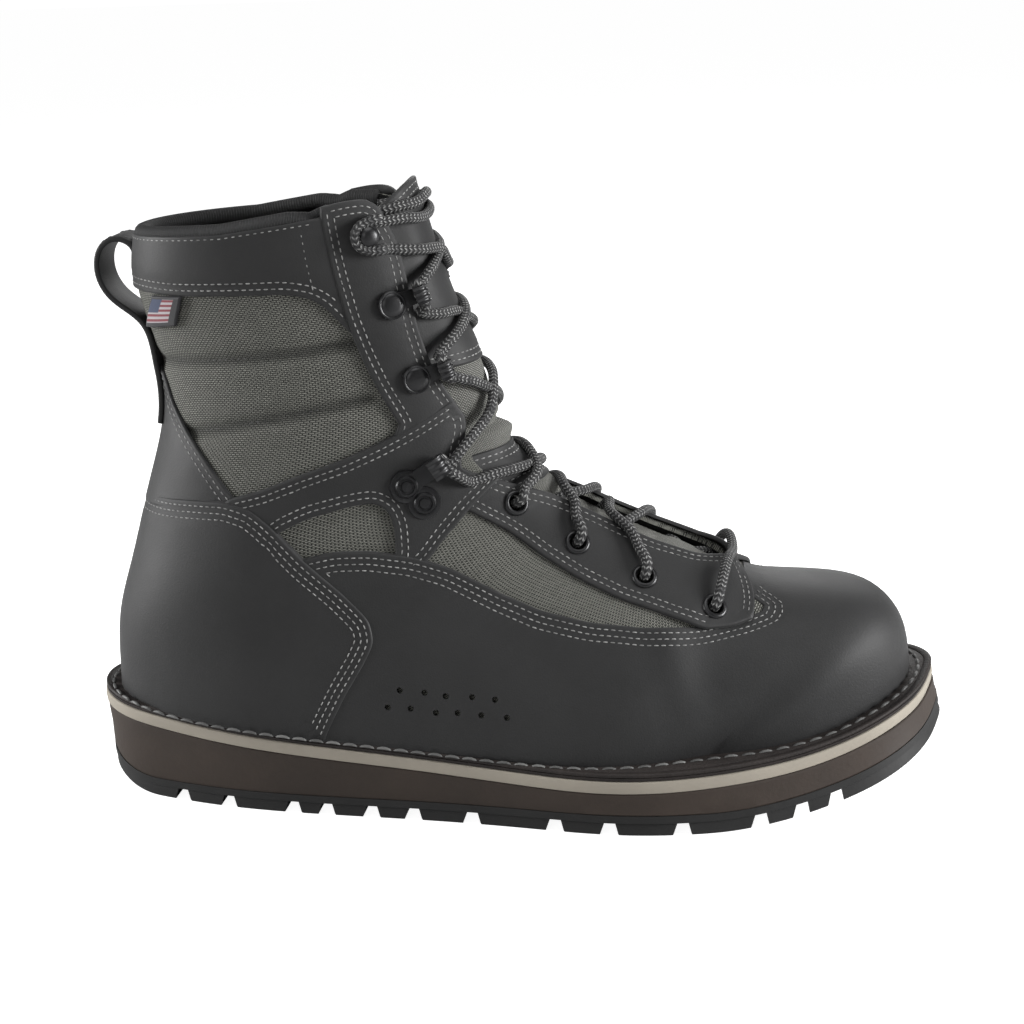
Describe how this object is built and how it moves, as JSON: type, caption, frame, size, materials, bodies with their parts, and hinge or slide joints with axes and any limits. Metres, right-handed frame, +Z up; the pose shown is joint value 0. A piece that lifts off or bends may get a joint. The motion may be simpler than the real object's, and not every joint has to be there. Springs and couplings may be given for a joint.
{
  "type": "wading boot",
  "caption": "Ankle-high lace-up wading boot with leather and textile upper, speed hooks, heel pull loop and a stitched, lugged rubber sole.",
  "frame": {"origin": "under the middle of the boot's overall box, on the floor plane of its tread", "axes": "+X from heel to toe along the sole, +Y to the inner (medial) side of the foot, +Z up"},
  "size_m": [0.316, 0.116, 0.2243],
  "materials": {
    "leather": "matte nubuck",
    "textile": "woven",
    "outsole_rubber": "matte",
    "midsole_foam": "matte",
    "slip_foam": "matte",
    "welt_leather": "matte",
    "lining": "woven",
    "hook_metal": "satin black",
    "lace_cord": "braided",
    "label_weave": "woven"
  },
  "bodies": {
    "root": {"ankle_strap_lateral": "leather", "ankle_strap_medial": "leather", "backstay": "leather", "collar_cuff": "leather", "collar_roll": "lining", "eyelet_lateral_1": "hook_metal", "eyelet_lateral_2": "hook_metal", "eyelet_lateral_3": "hook_metal", "eyelet_lateral_4": "hook_metal", "eyelet_medial_1": "hook_metal", "eyelet_medial_2": "hook_metal", "eyelet_medial_3": "hook_metal", "eyelet_medial_4": "hook_metal", "eyestay_lower_lateral": "leather", "eyestay_lower_medial": "leather", "eyestay_upper_lateral": "leather", "eyestay_upper_medial": "leather", "heel_counter": "leather", "hook_lateral_1": "hook_metal", "hook_lateral_2": "hook_metal", "hook_lateral_3": "hook_metal", "hook_medial_1": "hook_metal", "hook_medial_2": "hook_metal", "hook_medial_3": "hook_metal", "insole": "lining", "lace": "lace_cord", "lock_hook_lateral": "hook_metal", "lock_hook_medial": "hook_metal", "midsole": "midsole_foam", "midsole_slip": "slip_foam", "outsole": "outsole_rubber", "pull_loop": "leather", "side_label": "label_weave", "tongue": "textile", "upper": "textile", "vamp": "leather", "welt": "welt_leather"}
  },
  "joints": []
}
